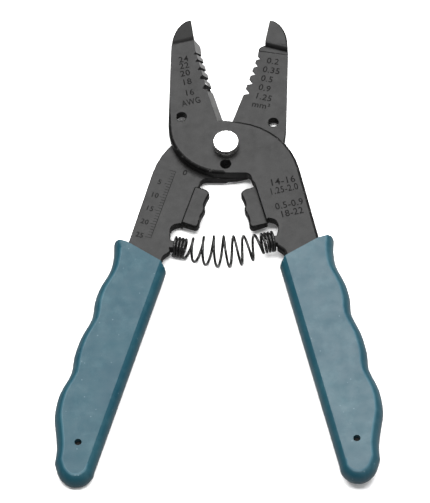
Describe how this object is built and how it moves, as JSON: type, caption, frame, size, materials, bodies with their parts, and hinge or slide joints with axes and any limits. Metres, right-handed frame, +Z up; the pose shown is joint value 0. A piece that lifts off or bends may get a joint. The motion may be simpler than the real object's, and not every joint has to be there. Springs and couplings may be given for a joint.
{
  "type": "wire stripper",
  "caption": "Plier-type wire stripper: two riveted steel levers with wire notches, a cutter and crimping lobes, a barrel return spring and waved plastic grips.",
  "frame": {"origin": "on the rivet's axis, in the plane that the tool rests on, which holds the rivet's back end and the rear grip's back", "axes": "+Y along the tool towards the jaws, +Z up from the rest plane along the rivet, +X across the tool towards the front lever's handle"},
  "size_m": [0.1006, 0.1655, 0.0115],
  "materials": {
    "blackened_steel": "satin black oxide",
    "grip_plastic": "satin dip-moulded vinyl",
    "polished_steel": "polished",
    "spring_steel": "oiled black"
  },
  "bodies": {
    "rear_half": {"rear_lever": "blackened_steel", "rear_grip": "grip_plastic", "pivot_rivet": "polished_steel", "rivet_collar": "polished_steel", "return_spring": "spring_steel"},
    "front_half": {"front_lever": "blackened_steel", "front_grip": "grip_plastic"}
  },
  "joints": [
    {"name": "jaw_pivot", "type": "hinge", "parent": "rear_half", "child": "front_half", "pos_m": [0, 0, 0.0053], "axis": [0, 0, 1], "range_deg": [-29, 0], "stiffness_Nm_per_rad": 1.2, "springref_deg": 2.86, "deforming": ["return_spring"]}
  ]
}
